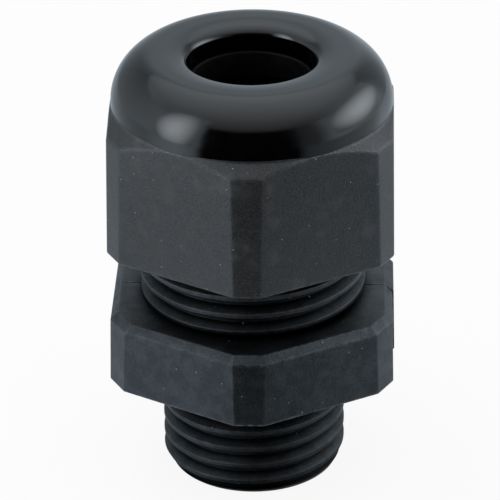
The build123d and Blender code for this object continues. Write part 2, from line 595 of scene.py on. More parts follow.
# %% Cap nut: inside
crown_thickness = 1.6
thread_clearance = 0.05
thread_root_gap = 0.1
nut_entry_chamfer = 0.4
thrust_cone_top_radius = 5.35
thrust_cone_slope = 1.0
inside_edge_radius = 0.08
nut_thread_crest_radius = cap_crest_radius - cap_thread_depth + thread_root_gap
nut_entry_radius = cap_crest_radius + thread_clearance + nut_entry_chamfer
ceiling_z = nut_top_z - crown_thickness
nut_bore_top_z = ceiling_z - (nut_thread_crest_radius - thrust_cone_top_radius) / thrust_cone_slope

inside = rounded([
    hole_edge[-1],
    (cable_hole_radius, ceiling_z),
    (thrust_cone_top_radius, ceiling_z),
    (nut_thread_crest_radius, nut_bore_top_z),
    (nut_thread_crest_radius, nut_base_z + nut_entry_radius - nut_thread_crest_radius),
    (nut_entry_radius, nut_base_z),
], inside_edge_radius)
nut_rings = dome_arc + crown_arc[1:] + crown_flat + dish_arc + lip_arc + hole_edge + inside[1:]
print("the nut's section has", len(nut_rings), "rings, with its ceiling at", round(ceiling_z, 2))

# %% [markdown]
# The cap nut's sheet. It starts as the flange did, from two six-sided cones, but without lids and
# with its sides cut into columns. The cone over the corners meets each column at a height of its
# own, which is what bows the upper edge of the flats. So every column gets its own rounded edge
# there, worked out from how far its wall is from the axis, and ends on the dome's circle. From there
# on all columns are alike, and one ring after another is extruded, scaled and moved. All rings have
# the same number of points, so the last one, at the thread's mouth, bridges to the tube's foot.

# %% Cap nut: hexagonal tube
nut_undersize = 0.08
nut_across_flats = spanner_size - nut_undersize
nut_corner_width = 1.78
nut_draft = radians(0.9)
nut_vertical_radius = 0.10
shortest_flat, flat_cuts = 4.0, 27
shortest_corner, corner_cuts = 1.0, 5

nut = hexagon_block("cap_nut", nut_base_z, dome_base_z, nut_across_flats, nut_corner_width, nut_draft)
pick(nut, "FACE", lambda face: abs(face.normal.z) > 0.9)
bpy.ops.mesh.delete(type="ONLY_FACE")
pick(nut, "EDGE", is_upright)
bpy.ops.mesh.bevel(offset=nut_vertical_radius, segments=3, affect="EDGES")
for shortest, cuts in ((shortest_flat, flat_cuts), (shortest_corner, corner_cuts)):
    pick(nut, "EDGE", lambda edge: edge.calc_length() > shortest and not is_upright(edge))
    bpy.ops.mesh.subdivide(number_cuts=cuts)
bpy.ops.object.mode_set(mode="OBJECT")
print(count(nut))

# %% Cap nut: soft edge round the cone, column by column
nut_edge_radius = 0.5
corner_cone_slope = tan(radians(40))


def column(vertex):
    """The direction of a vertex as seen from the axis, which names its column of the sheet."""
    return round(atan2(vertex.co.y, vertex.co.x), 3)


def soft_cone(reach):
    """From a wall this far from the axis over the cone to the dome, with both corners rounded."""
    wall_end = dome_base_z - (reach - dome_base_radius) * corner_cone_slope
    corners = [(reach, nut_base_z), (reach, wall_end), (dome_base_radius, dome_base_z), dome_arc[0]]
    return rounded(corners, nut_edge_radius)[1:]


top_rim = [vertex for vertex in nut.data.vertices if vertex.co.z > dome_base_z - SAME_PLACE]
columns = {column(vertex): soft_cone(hypot(vertex.co.x, vertex.co.y)) for vertex in top_rim}
ring_count = len(columns[column(top_rim[0])])
pick(nut, "VERT", lambda vertex: vertex.co.z > dome_base_z - SAME_PLACE)
for ring in range(ring_count):
    if ring > 0:
        bpy.ops.mesh.extrude_region_move()
    bpy.ops.object.mode_set(mode="OBJECT")
    for vertex in nut.data.vertices:
        if vertex.select:
            radius, height = columns[column(vertex)][ring]
            share = radius / hypot(vertex.co.x, vertex.co.y)
            vertex.co = (vertex.co.x * share, vertex.co.y * share, height)
    bpy.ops.object.mode_set(mode="EDIT")
print(len(columns), "columns with", ring_count, "rings each")

# %% Cap nut: the section, ring by ring
for (radius, height), (next_radius, next_height) in zip(nut_rings, nut_rings[1:]):
    bpy.ops.mesh.extrude_region_move()
    growth = next_radius / radius
    bpy.ops.transform.resize(value=(growth, growth, 1), center_override=(0, 0, 0))
    bpy.ops.transform.translate(value=(0, 0, next_height - height))
pick(nut, "EDGE", lambda edge: edge.is_boundary)
bpy.ops.mesh.bridge_edge_loops()
tidy_mesh(nut)
print(count(nut))

# %% [markdown]
# The foot of the nut is rounded by a bevel. The thread inside is hardly in view, but its first turn
# shows in the mouth when the nut is looked at from below. So it is cut as a tap cuts it, with a
# threaded rod a little larger than the body's, and then the nut is turned to where it stopped.

# %% Cap nut: foot and thread
nut_foot_radius = 0.22
tap_swelling = 0.04
tap_start_z = nut_base_z - 2
tap_end_z = nut_bore_top_z - 1
nut_rest_turn = radians(0.4)


def is_foot(edge):
    """True for the outer edge of the nut's lower face."""
    outer = all(hypot(vertex.co.x, vertex.co.y) > dome_base_radius for vertex in edge.verts)
    lowest = all(abs(vertex.co.z - nut_base_z) < SAME_PLACE for vertex in edge.verts)
    return outer and lowest and edge.calc_face_angle(0) > 1


picked = pick(nut, "EDGE", is_foot)
bpy.ops.mesh.bevel(offset=nut_foot_radius, segments=4, affect="EDGES")
bpy.ops.object.mode_set(mode="OBJECT")
print("bevelled", picked, "edges round the foot")

tap = threaded_rod("tap", cap_crest_radius + thread_clearance, cap_thread_depth, cap_crest_z,
                   tap_start_z, tap_end_z, swelling=tap_swelling)
combine(nut, tap, "DIFFERENCE")
tidy_mesh(nut, FINE_MERGE_DISTANCE)
activate(nut)
bpy.ops.transform.rotate(value=nut_rest_turn, orient_axis="Z", center_override=(0, 0, 0))
bpy.ops.object.transform_apply(location=True, rotation=True, scale=True)
print(count(nut))

# %% [markdown]
# The clamping cage. It can't be seen while the gland is together, but it is what grips the cable:
# a ring that rests on the body's rim, a spigot that keeps it centred, and ten fingers that the
# nut's cone bends inwards. Ten copies of one finger would leave a seam in the ring between each two,
# so the ring and its fingers are turned whole from their section. Then ten slots are cut, with one
# block that is copied round the axis and whose foot is rounded, as a mould's blades are.

# %% Cage: ring and sleeve
cage_inner_radius = 5.27
cage_spigot_radius = 5.8
cage_tip_radius = 6.07
cage_tip_bevel = 0.4
cage_ring_height = 0.8
cage_edge_radius = 0.08

cage = turned("finger_cage", rounded([
    (cage_inner_radius, cage_low.z),
    (cage_spigot_radius, cage_low.z),
    (cage_spigot_radius, rim_z),
    (cage_high.x, rim_z),
    (cage_high.x, rim_z + cage_ring_height),
    (cage_tip_radius, cage_high.z - cage_tip_bevel),
    (cage_tip_radius - cage_tip_bevel, cage_high.z),
    (cage_inner_radius, cage_high.z),
], cage_edge_radius, closed=True), steps=160, closed=True)
print(count(cage))

# %% Cage: slots
finger_count = 10
finger_slot_width = 0.8
finger_slot_foot_z = rim_z + 1.2
slot_foot_radius = 0.45 * finger_slot_width
finger_edge_radius = 0.05
finger_edge_angle = radians(50)

slot_length = cage_high.x + 1
slot_height = cage_high.z - finger_slot_foot_z + 1
clear_selection()
slot_middle = (slot_length / 2, 0, finger_slot_foot_z + slot_height / 2)
slot_size = (slot_length, finger_slot_width, slot_height)
bpy.ops.mesh.primitive_cube_add(size=1, location=slot_middle, scale=slot_size)
slot = new_piece("slot")
bpy.ops.object.transform_apply(location=True, rotation=True, scale=True)
pick(slot, "EDGE", lambda edge:
     all(vertex.co.z < finger_slot_foot_z + SAME_PLACE for vertex in edge.verts)
     and abs(edge.verts[0].co.x - edge.verts[1].co.x) > 1)
bpy.ops.mesh.bevel(offset=slot_foot_radius, segments=4, affect="EDGES")
bpy.ops.object.mode_set(mode="OBJECT")
for finger in range(finger_count):
    cutter = slot.copy()
    cutter.data = slot.data.copy()
    bpy.context.scene.collection.objects.link(cutter)
    activate(cutter)
    slot_turn = 2 * pi * finger / finger_count
    bpy.ops.transform.rotate(value=slot_turn, orient_axis="Z", center_override=(0, 0, 0))
    bpy.ops.object.transform_apply(location=True, rotation=True, scale=True)
    combine(cage, cutter, "DIFFERENCE")
bpy.data.objects.remove(slot)
with_modifier(cage, "BEVEL", width=finger_edge_radius, segments=2, limit_method="ANGLE",
              angle_limit=finger_edge_angle)
tidy_mesh(cage, FINE_MERGE_DISTANCE)
print(count(cage))

# %% [markdown]
# The seal. It is a rubber sleeve with ribs round its hole that press on the cable. Its upper edge
# is faintly seen down the hole of the dome. A tube with rings added to it would take unions, while
# one turned section holds it all. Rubber has no sharp edges anywhere, so the section is rounded
# more than the plastic pieces'.

# %% Sealing insert
seal_hole_radius = 3.9
seal_groove_depth = 0.42
seal_rib_count = 3
seal_rib_slant = 0.2
seal_edge_chamfer = 0.5
seal_edge_radius = 0.18

spacing = (seal_high.z - seal_low.z) / (2 * seal_rib_count + 1)
groove_radius = seal_hole_radius + seal_groove_depth
seal_section = [
    (seal_hole_radius, seal_low.z),
    (seal_high.x, seal_low.z),
    (seal_high.x, seal_high.z - seal_edge_chamfer),
    (seal_high.x - seal_edge_chamfer, seal_high.z),
    (seal_hole_radius, seal_high.z),
]
for rib in reversed(range(seal_rib_count)):
    middle = seal_low.z + spacing * (2 * rib + 1.5)
    seal_section += [
        (seal_hole_radius, middle + spacing / 2),
        (groove_radius, middle + spacing / 2 - seal_rib_slant),
        (groove_radius, middle - spacing / 2 + seal_rib_slant),
        (seal_hole_radius, middle - spacing / 2),
    ]
seal = turned("cable_seal", rounded(seal_section, seal_edge_radius, steps=4, closed=True), closed=True)
print(count(seal))

# %% [markdown]
# Materials. Black polyamide is darker than it looks: nearly all that one sees of it is the studio,
# mirrored in its surface. So its colour is close to black, and the finish is in the roughness, in
# fine relief and in how much of the mirroring gets through. One plain black shader would have the
# right tone and still look like no material at all, because real mouldings shine unevenly. In thread
# grooves and the hole, where little of the surroundings is open, shade is painted in: the colour goes
# to black and the mirroring is turned down. The nodes that all finishes share come first.

# %% Nodes and materials
SURFACE_SCALE = 1 / MILLIMETRE


def put(tree, kind, inputs=None, **settings):
    """Adds a node, sets its properties and the values of its sockets."""
    node = tree.nodes.new(kind)
    for name, value in settings.items():
        setattr(node, name, value)
    for name, value in (inputs or {}).items():
        node.inputs[name].default_value = value
    return node


def cleared_tree(holder):
    """The node tree of a material or of the world, switched on and emptied."""
    holder.use_nodes = True
    holder.node_tree.nodes.clear()
    return holder.node_tree


def new_material(name):
    """A node material with a Principled shader, and its coordinates in millimetres."""
    material = bpy.data.materials.new(name)
    tree = cleared_tree(material)
    output = put(tree, "ShaderNodeOutputMaterial")
    shader = put(tree, "ShaderNodeBsdfPrincipled")
    tree.links.new(shader.outputs["BSDF"], output.inputs["Surface"])
    coordinates = put(tree, "ShaderNodeTexCoord")
    mapping = put(tree, "ShaderNodeMapping", {"Scale": (SURFACE_SCALE,) * 3})
    tree.links.new(coordinates.outputs["Object"], mapping.inputs["Vector"])
    return material, tree, shader, mapping.outputs["Vector"]


print("texture sizes read in millimetres, as coordinates are scaled by", round(SURFACE_SCALE))

# %% Noise, ranges and relief
USUAL_LOW = 0.3
USUAL_HIGH = 0.7


def noise(tree, vector, scale, detail=3.0, roughness=0.5):
    """A noise texture on these coordinates; its value."""
    settings = {"Scale": scale, "Detail": detail, "Roughness": roughness}
    texture = put(tree, "ShaderNodeTexNoise", settings)
    tree.links.new(vector, texture.inputs["Vector"])
    return texture.outputs["Fac"]


def ranged(tree, value, low, high, start=USUAL_LOW, end=USUAL_HIGH):
    """The value, spread from its usual range to another."""
    limits = {"From Min": start, "From Max": end, "To Min": low, "To Max": high}
    spread = put(tree, "ShaderNodeMapRange", limits)
    tree.links.new(value, spread.inputs["Value"])
    return spread.outputs["Result"]


def relief(tree, shader, height, strength, depth_millimetres):
    """Bump on the whole surface from a height."""
    depth = depth_millimetres * MILLIMETRE
    bump = put(tree, "ShaderNodeBump", {"Strength": strength, "Distance": depth})
    tree.links.new(height, bump.inputs["Height"])
    tree.links.new(bump.outputs["Normal"], shader.inputs["Normal"])


print("noise runs mostly from", USUAL_LOW, "to", USUAL_HIGH, "and is spread from there")

# %% Sums, openness and places
OPENNESS_SAMPLES = 8


def joined(tree, one, other, operation):
    """Two values joined by a math node."""
    node = put(tree, "ShaderNodeMath", operation=operation)
    tree.links.new(one, node.inputs[0])
    tree.links.new(other, node.inputs[1])
    return node.outputs["Value"]


def times(tree, one, other):
    """One value times another."""
    return joined(tree, one, other, "MULTIPLY")


def larger(tree, one, other):
    """The larger of two values."""
    return joined(tree, one, other, "MAXIMUM")


# Openness is what paints shade: where it is low, in grooves and the hole, the finishes turn their colour
# to black and their mirroring down.
def openness(tree, reach_millimetres, low, high):
    """How open the surroundings are: 1 on a free face, down to 0 in a groove or a hole."""
    reach = {"Distance": reach_millimetres * MILLIMETRE}
    occlusion = put(tree, "ShaderNodeAmbientOcclusion", reach, samples=OPENNESS_SAMPLES)
    return ranged(tree, occlusion.outputs["AO"], 0, 1, low, high)


def from_axis(tree, place):
    """The distance from the gland's axis and the height, both in millimetres."""
    apart = put(tree, "ShaderNodeSeparateXYZ")
    tree.links.new(place, apart.inputs["Vector"])
    flat = put(tree, "ShaderNodeCombineXYZ")
    tree.links.new(apart.outputs["X"], flat.inputs["X"])
    tree.links.new(apart.outputs["Y"], flat.inputs["Y"])
    distance = put(tree, "ShaderNodeVectorMath", operation="LENGTH")
    tree.links.new(flat.outputs["Vector"], distance.inputs[0])
    return distance.outputs["Value"], apart.outputs["Z"]


print("openness is tested with", OPENNESS_SAMPLES, "rays")

# %% Shades
# Grey of the lint and of the pale edges, which are partly rubbing and partly a painted highlight.
RUBBED_AND_HIGHLIGHT_GREY = (0.24, 0.25, 0.262, 1)


def shade_of(tree, shader, value, dark, light, open_share, lint_wear_and_highlights=None):
    """Colour from dark to light with the value; painted black as shade in hollows; grey on lint and on
    rubbed, highlit edges.
    """
    mix = put(tree, "ShaderNodeMix", {"A": (*dark, 1), "B": (*light, 1)}, data_type="RGBA")
    # Painted shade: the colour goes to black where the surroundings are closed.
    painted_hollow_shade = put(tree, "ShaderNodeMix", {"A": (0, 0, 0, 1)}, data_type="RGBA")
    tree.links.new(value, mix.inputs["Factor"])
    tree.links.new(open_share, painted_hollow_shade.inputs["Factor"])
    tree.links.new(mix.outputs["Result"], painted_hollow_shade.inputs["B"])
    colour = painted_hollow_shade.outputs["Result"]
    if lint_wear_and_highlights is not None:
        marked = put(tree, "ShaderNodeMix", {"B": RUBBED_AND_HIGHLIGHT_GREY}, data_type="RGBA")
        tree.links.new(lint_wear_and_highlights, marked.inputs["Factor"])
        tree.links.new(colour, marked.inputs["A"])
        colour = marked.outputs["Result"]
    tree.links.new(colour, shader.inputs["Base Color"])


print("marks are as pale as", RUBBED_AND_HIGHLIGHT_GREY[:3])

# %% [markdown]
# Wear and painted highlights. The hexagons' edges are painted pale, partly as rubbing from handling
# and partly as a painted highlight where the edges catch the light, and some lint sticks to the
# surface. Painting them by hand would look better in one spot, but they would have to be painted
# again after every change of shape. So the edges are found by a Bevel node: near an edge its
# softened normal turns away from the true one. Noise breaks the pale edges up into scuffed patches,
# and they fade out towards the threads, which are hardly touched. Lint is the cores of a few
# Voronoi cells.

# %% Rubbed and highlit edges, and lint
pale_edge_start_radius = nut_thread_crest_radius + 0.3
pale_edge_full_radius = nut_thread_crest_radius + 1.2
pale_edges_on_threads = 0.15


def rubbed_and_highlit_edges(tree, place, radius_millimetres):
    """1 where a hexagon's edge is painted pale, partly as rubbing and partly as a painted highlight, in
    scuffed patches, and 0 on the flats.
    """
    radius = {"Radius": radius_millimetres * MILLIMETRE}
    softened = put(tree, "ShaderNodeBevel", radius, samples=4)
    surface = put(tree, "ShaderNodeNewGeometry")
    agreement = put(tree, "ShaderNodeVectorMath", operation="DOT_PRODUCT")
    tree.links.new(softened.outputs["Normal"], agreement.inputs[0])
    tree.links.new(surface.outputs["Normal"], agreement.inputs[1])
    edge = ranged(tree, agreement.outputs["Value"], 1, 0, 0.9, 0.999)
    scuffed_highlight_patches = ranged(tree, noise(tree, place, 2.6, detail=6, roughness=0.8), 0, 1, 0.42, 0.64)
    reach, _ = from_axis(tree, place)
    within_reach = ranged(tree, reach, pale_edges_on_threads, 1, pale_edge_start_radius, pale_edge_full_radius)
    return times(tree, times(tree, edge, scuffed_highlight_patches), within_reach)


def specks(tree, place, scale, radius, share):
    """1 on small scattered specks: the cores of some of the cells of a Voronoi texture."""
    cells = put(tree, "ShaderNodeTexVoronoi", {"Scale": scale})
    tree.links.new(place, cells.inputs["Vector"])
    apart = put(tree, "ShaderNodeSeparateColor")
    tree.links.new(cells.outputs["Color"], apart.inputs["Color"])
    core = ranged(tree, cells.outputs["Distance"], 1, 0, 0.6 * radius, radius)
    chosen = ranged(tree, apart.outputs["Red"], 0, 1, 1 - share, 1 - share + 0.01)
    return times(tree, core, chosen)


print("edges are rubbed from", round(pale_edge_start_radius, 2), "mm off the axis, fully from",
      round(pale_edge_full_radius, 2))

# %% [markdown]
# Satin polyamide. The hexagons and the threads come from a spark-eroded mould, whose grain is fine
# and even. Colour, shine and relief could each have a noise of its own, but on the real surface they
# come from the same small dents, so they all follow one. On it lie faint clouds, and blotches where
# the skin is duller.
# The body, the nut and the cage are three mouldings, so each has its own amounts: the body has the
# duller blotches, and the nut is a little lighter.

# %% Satin polyamide
POLYAMIDE_IOR = 1.53


def satin_polyamide(name, sheen, smoothest, roughest, grain_depth, dark, light, dullest):
    """Moulded black polyamide: spark-eroded grain, clouds, duller blotches, lint, edges partly rubbed
    and partly a painted highlight, and painted shade in hollows.
    """
    material, tree, shader, place = new_material(name)
    shader.inputs["IOR"].default_value = POLYAMIDE_IOR
    shader.inputs["Specular Tint"].default_value = (*sheen, 1)
    clouds = noise(tree, place, 0.55, detail=4, roughness=0.6)
    grain = noise(tree, place, 9.0, detail=4, roughness=0.7)
    blotches = noise(tree, place, 1.0, detail=5, roughness=0.7)
    # Painted shade: where the surroundings are closed, the colour goes to black and the glint is dimmed.
    free = openness(tree, 1.7, 0.5, 0.88)
    lint = specks(tree, place, 2.3, 0.12, 0.16)
    # Lint, and pale edges that are partly rubbing and partly a painted highlight.
    lint_wear_and_highlights = larger(tree, times(tree, rubbed_and_highlit_edges(tree, place, 0.28), free), lint)
    tree.links.new(ranged(tree, clouds, smoothest, roughest), shader.inputs["Roughness"])

    brightest = 1.12 / (1 + dullest)
    open_glint = ranged(tree, free, 0.06, brightest, 0, 1)
    glint = times(tree, open_glint, ranged(tree, grain, 0.78, 1, 0.36, 0.64))
    patches = ranged(tree, blotches, dullest, 1, 0.43, 0.57)
    tree.links.new(times(tree, glint, patches), shader.inputs["Specular IOR Level"])

    shades = larger(tree, ranged(tree, grain, 0, 1, 0.35, 0.75), ranged(tree, clouds, 0, 1, 0.5, 0.66))
    shade_of(tree, shader, shades, (dark,) * 3, (light,) * 3, free, lint_wear_and_highlights)
    relief(tree, shader, grain, 0.9, grain_depth)
    print(name, "has", len(tree.nodes), "nodes")
    return material


body_finish = satin_polyamide(
    "satin_polyamide_body", sheen=(0.82, 0.92, 1.0), smoothest=0.29, roughest=0.43,
    grain_depth=0.045, dark=0.0, light=0.008, dullest=0.72)
nut_finish = satin_polyamide(
    "satin_polyamide_nut", sheen=(0.96, 0.98, 1.0), smoothest=0.29, roughest=0.39,
    grain_depth=0.04, dark=0.004, light=0.027, dullest=0.93)
cage_finish = satin_polyamide(
    "satin_polyamide_cage", sheen=(0.9, 0.95, 1.0), smoothest=0.40, roughest=0.50,
    grain_depth=0.016, dark=0.001, light=0.004, dullest=0.9)

# %% [markdown]
# Polished polyamide. The dome comes from a polished and turned cavity, which leaves it glossy, with
# faint rings round the axis. Rings could be cut into the mesh, but they are finer than its faces.
# Instead noise is looked up by the distance from the axis and the height alone, so it is the same
# all the way round. A slight haze keeps the mirroring from being perfect.

# %% Polished polyamide
def polished_polyamide(name):
    """Mould-polished black polyamide with faint turning rings round the axis."""
    material, tree, shader, place = new_material(name)
    shader.inputs["IOR"].default_value = POLYAMIDE_IOR
    reach, height = from_axis(tree, place)
    round_axis = put(tree, "ShaderNodeCombineXYZ")
    tree.links.new(reach, round_axis.inputs["X"])
    tree.links.new(height, round_axis.inputs["Z"])
    rings = noise(tree, round_axis.outputs["Vector"], 7.0, detail=3, roughness=0.7)
    haze = noise(tree, place, 1.2, detail=4)
    # Painted shade: in the hole, where little is open, the colour goes to black and the mirroring is
    # turned down.
    free = openness(tree, 3.0, 0.7, 0.95)
    tree.links.new(ranged(tree, haze, 0.09, 0.15), shader.inputs["Roughness"])
    tree.links.new(ranged(tree, free, 0.02, 0.5, 0, 1), shader.inputs["Specular IOR Level"])
    shade_of(tree, shader, haze, (0.0006,) * 3, (0.0014, 0.0014, 0.0015), free)
    relief(tree, shader, rings, 0.3, 0.008)
    print(name, "has", len(tree.nodes), "nodes")
    return material


dome_finish = polished_polyamide("polished_polyamide_dome")

# %% [markdown]
# Rubber. The seal shows only as a dark edge down the hole. It is dull all over, a little duller
# where the rubber has bloomed, and its fine grain keeps it from mirroring the lamps. A plain dark
# shader would do from the front, but from above one looks right at it.

# %% Moulded rubber
RUBBER_IOR = 1.5


def moulded_rubber(name):
    """Dull black rubber with a bloom."""
    material, tree, shader, place = new_material(name)
    shader.inputs["IOR"].default_value = RUBBER_IOR
    bloom = noise(tree, place, 1.5, detail=4)
    # Painted shade: down the hole, where little is open, the colour goes to black and the shine is
    # turned down.
    free = openness(tree, 3.0, 0.6, 1.0)
    tree.links.new(ranged(tree, bloom, 0.5, 0.68), shader.inputs["Roughness"])
    tree.links.new(ranged(tree, free, 0.01, 0.16, 0, 1), shader.inputs["Specular IOR Level"])
    shade_of(tree, shader, ranged(tree, bloom, 0, 1), (0.0006,) * 3, (0.0018,) * 3, free)
    relief(tree, shader, noise(tree, place, 12.0), 0.4, 0.008)
    print(name, "has", len(tree.nodes), "nodes")
    return material


seal_finish = moulded_rubber("moulded_rubber_seal")

# %% [markdown]
# Finishing. Each piece is smoothed by angle, so that curves shade smoothly and edges stay crisp,
# and is brought down from millimetres to metres. It then takes its finish, rides on its body and
# stands in for its solid, which is hidden.

# %% Finish and ride
SHARPEST_SMOOTH_ANGLE = radians(32)


def finished(piece, finish, body, node):
    """Shades a piece, brings it to metres and ties it to the frame."""
    activate(piece)
    bpy.ops.object.shade_smooth_by_angle(angle=SHARPEST_SMOOTH_ANGLE, keep_sharp_edges=False)
    piece.data.materials.clear()
    piece.data.materials.append(finish)
    piece.scale = (MILLIMETRE,) * 3
    bpy.ops.object.transform_apply(location=True, rotation=True, scale=True)
    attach(piece, body)
    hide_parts(node)
    print(piece.name, "rides on", body, "and stands for", node)


finished(body, body_finish, "gland_body", "gland_body")
finished(nut, nut_finish, "dome_nut", "dome_nut")
finished(cage, cage_finish, "gland_body", "clamping_cage")
finished(seal, seal_finish, "sealing_insert", "sealing_insert")

# %% [markdown]
# The nut takes two finishes, as its mould does. The line between them is the foot of the dome, so
# faces are given their finish by where their middle is: those of the dome, its crown and the hole
# are polished, and the rest is satin. Two objects would need a seam there.

# %% The nut's second finish
nut.data.materials.append(dome_finish)
for face in nut.data.polygons:
    centre = face.center / MILLIMETRE
    on_dome = centre.z > dome_base_z and hypot(centre.x, centre.y) < dome_base_radius
    face.material_index = 1 if on_dome else 0
print("polished faces:", sum(face.material_index for face in nut.data.polygons))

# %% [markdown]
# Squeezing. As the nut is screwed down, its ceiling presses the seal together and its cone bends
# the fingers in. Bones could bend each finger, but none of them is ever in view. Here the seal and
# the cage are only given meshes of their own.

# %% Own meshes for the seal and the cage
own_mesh(seal)
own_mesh(cage)

# %% [markdown]
# The studio. Nearly everything that one sees of the gland is a reflection, so the set matters as
# much as the finish. Plain lamps would show as hard spots in the polished dome. So the gland stands
# in a round tent, which is dark in front, where the camera stands, and grey to white elsewhere, with
# a bright screen overhead and a soft lamp on each side. All these are seen only in reflections. The
# tent is a little bluer than the screen and the lamps, as shade is beside daylight.

# %% Helpers for panels
def reflected_only(panel):
    """Makes a panel one that only reflections see, and leaves it out of the frame's checks."""
    panel.visible_camera = False
    panel.visible_diffuse = False
    panel.visible_transmission = False
    panel.visible_shadow = False
    return panel


def set_piece(name, width, height, centre, normal):
    """A flat panel of the studio, facing along its normal."""
    clear_selection()
    bpy.ops.mesh.primitive_plane_add(size=1)
    panel = new_piece(name)
    panel.scale = (width * MILLIMETRE, height * MILLIMETRE, 1)
    panel.rotation_mode = "QUATERNION"
    panel.rotation_quaternion = Vector(normal).to_track_quat("Z", "Y")
    panel.location = Vector(centre) * MILLIMETRE
    return reflected_only(panel)


DAYLIGHT = (0.87, 0.94, 1.0)
SHADE_LIGHT = (0.8, 0.91, 1.0)
print("lamps are tinted", DAYLIGHT, "and the tent", SHADE_LIGHT)

# %% Helpers for glows
def new_glow(name, strength):
    """An emission material; with its tree, its shader and the coordinates on the panel."""
    material = bpy.data.materials.new(name)
    tree = cleared_tree(material)
    output = put(tree, "ShaderNodeOutputMaterial")
    emission = put(tree, "ShaderNodeEmission", {"Strength": strength})
    coordinates = put(tree, "ShaderNodeTexCoord")
    tree.links.new(emission.outputs["Emission"], output.inputs["Surface"])
    return material, tree, emission, coordinates.outputs["Object"]


def brightness(tree, place, shape, stops, tint=(1, 1, 1), **offsets):
    """A ramp of brightness along a gradient; its colour. The offsets are the mapping's."""
    mapping = put(tree, "ShaderNodeMapping", {key.title(): value for key, value in offsets.items()})
    gradient = put(tree, "ShaderNodeTexGradient", gradient_type=shape)
    ramp = put(tree, "ShaderNodeValToRGB")
    for position, _ in stops[1:-1]:
        ramp.color_ramp.elements.new(position)
    for element, (position, level) in zip(ramp.color_ramp.elements, stops):
        element.position = position
        element.color = (level * tint[0], level * tint[1], level * tint[2], 1)
    tree.links.new(place, mapping.inputs["Vector"])
    tree.links.new(mapping.outputs["Vector"], gradient.inputs["Vector"])
    tree.links.new(gradient.outputs["Color"], ramp.inputs["Fac"])
    return ramp.outputs["Color"]


def product(tree, one, other):
    """Two colours multiplied."""
    mix = put(tree, "ShaderNodeMix", {"Factor": 1.0}, data_type="RGBA", blend_type="MULTIPLY")
    tree.links.new(one, mix.inputs["A"])
    tree.links.new(other, mix.inputs["B"])
    return mix.outputs["Result"]


def seen_or_mirrored(tree):
    """1 for what is seen directly, in a reflection or through glass, and 0 for plain light."""
    light_path = put(tree, "ShaderNodeLightPath")
    seen = larger(tree, light_path.outputs["Is Camera Ray"], light_path.outputs["Is Glossy Ray"])
    return larger(tree, seen, light_path.outputs["Is Transmission Ray"])


TENT_STRENGTH = 2.0
OVERHEAD_STRENGTH = 1.7
print("ramps hold levels up to 1, so the tent's are divided by its strength of", TENT_STRENGTH)

# %% [markdown]
# The tent. Its wall and floor are two turned strips, and a third, the near floor, runs in under the
# flange, where the lower thread mirrors it. The near floor gets darker towards the gland's foot: a
# painted shadow, as the strips take no real shadow. Each strip's brightness goes round as (azimuth
# in degrees from the front towards the right, level). The levels were found by trying: which part
# of the tent a flat, a facet or the dome mirrors decides how bright it is.

# %% Tent: sizes and levels
tent_radius = 220.0
tent_height = 172.0
tent_foot_z = connection_end_z + 0.1
near_radius = 58.0
foot_opening_radius = 5.8
dark_from = 322
dark_to = 39
WALL_STOPS = [
    (30, 0), (37, 0.08), (dark_to + 2, 0.24), (54, 0.34), (61, 0.75), (68, 1.3), (77, 1.5), (107, 1.1),
    (128, 0.8), (137, 0.46), (151, 0.5), (167, 0.86), (182, 0.82), (195, 0.62), (203, 0.46), (215, 0.4),
    (227, 0.5), (242, 0.69), (257, 0.93), (272, 1.15), (290, 1.2), (317, 1.1), (dark_from - 1, 1.0),
    (dark_from + 1, 0),
]
FLOOR_STOPS = [
    (dark_to - 2, 0), (dark_to + 6, 0.38), (62, 0.55), (77, 0.74), (107, 0.92), (122, 1.15), (137, 0.78),
    (152, 0.65), (182, 0.8), (197, 0.63), (242, 0.7), (272, 0.85), (287, 1.4), (302, 1.7), (317, 1.2),
    (dark_from + 1, 0),
]
NEAR_FLOOR_STOPS = [
    (2, 0.17), (22, 0.3), (40, 0.62), (62, 0.82), (92, 0.82), (122, 0.9), (152, 0.8), (182, 0.9),
    (212, 0.8), (242, 0.85), (272, 0.88), (290, 1.0), (304, 1.25), (318, 1.6), (330, 1.0), (342, 0.36),
    (350, 0.2),
]
EVEN_STOPS = [(0, 1), (tent_radius, 1)]
# Painted shadow: the near floor dims towards the gland's foot, as (distance from the axis in
# millimetres, level).
PAINTED_SHADOW_STOPS = [
    (6, 0.06), (8, 0.12), (11, 0.36), (18, 0.8), (26, 1), (40, 0.85), (near_radius, 0.75),
]
print("the wall is brightest at", max(level for _, level in WALL_STOPS), "and dark from",
      dark_from, "round to", dark_to)

# %% Tent: strips
def tent_part(name, outline, stops, distance_stops):
    """A turned strip of the tent, whose brightness changes with the azimuth and the distance."""
    part = turned(name, outline, steps=72)
    part.scale = (MILLIMETRE,) * 3
    bpy.ops.object.transform_apply(location=True, rotation=True, scale=True)
    material, tree, emission, place = new_glow(name + "_glow", TENT_STRENGTH)
    seam_level = min(level for _, level in stops) / TENT_STRENGTH
    round_stops = [(azimuth / 360, level / TENT_STRENGTH) for azimuth, level in stops]
    round_stops = [(0, seam_level)] + round_stops + [(1, seam_level)]
    around = brightness(tree, place, "RADIAL", round_stops, tint=SHADE_LIGHT, rotation=(0, 0, -pi / 2))
    inwards_stops = [(1 - distance / tent_radius, level) for distance, level in reversed(distance_stops)]
    to_radius = 1 / (tent_radius * MILLIMETRE)
    outwards = brightness(tree, place, "SPHERICAL", inwards_stops, scale=(to_radius,) * 3)
    tree.links.new(product(tree, around, outwards), emission.inputs["Color"])
    part.data.materials.append(material)
    print(name, "has", len(stops), "levels round it")
    return reflected_only(part)


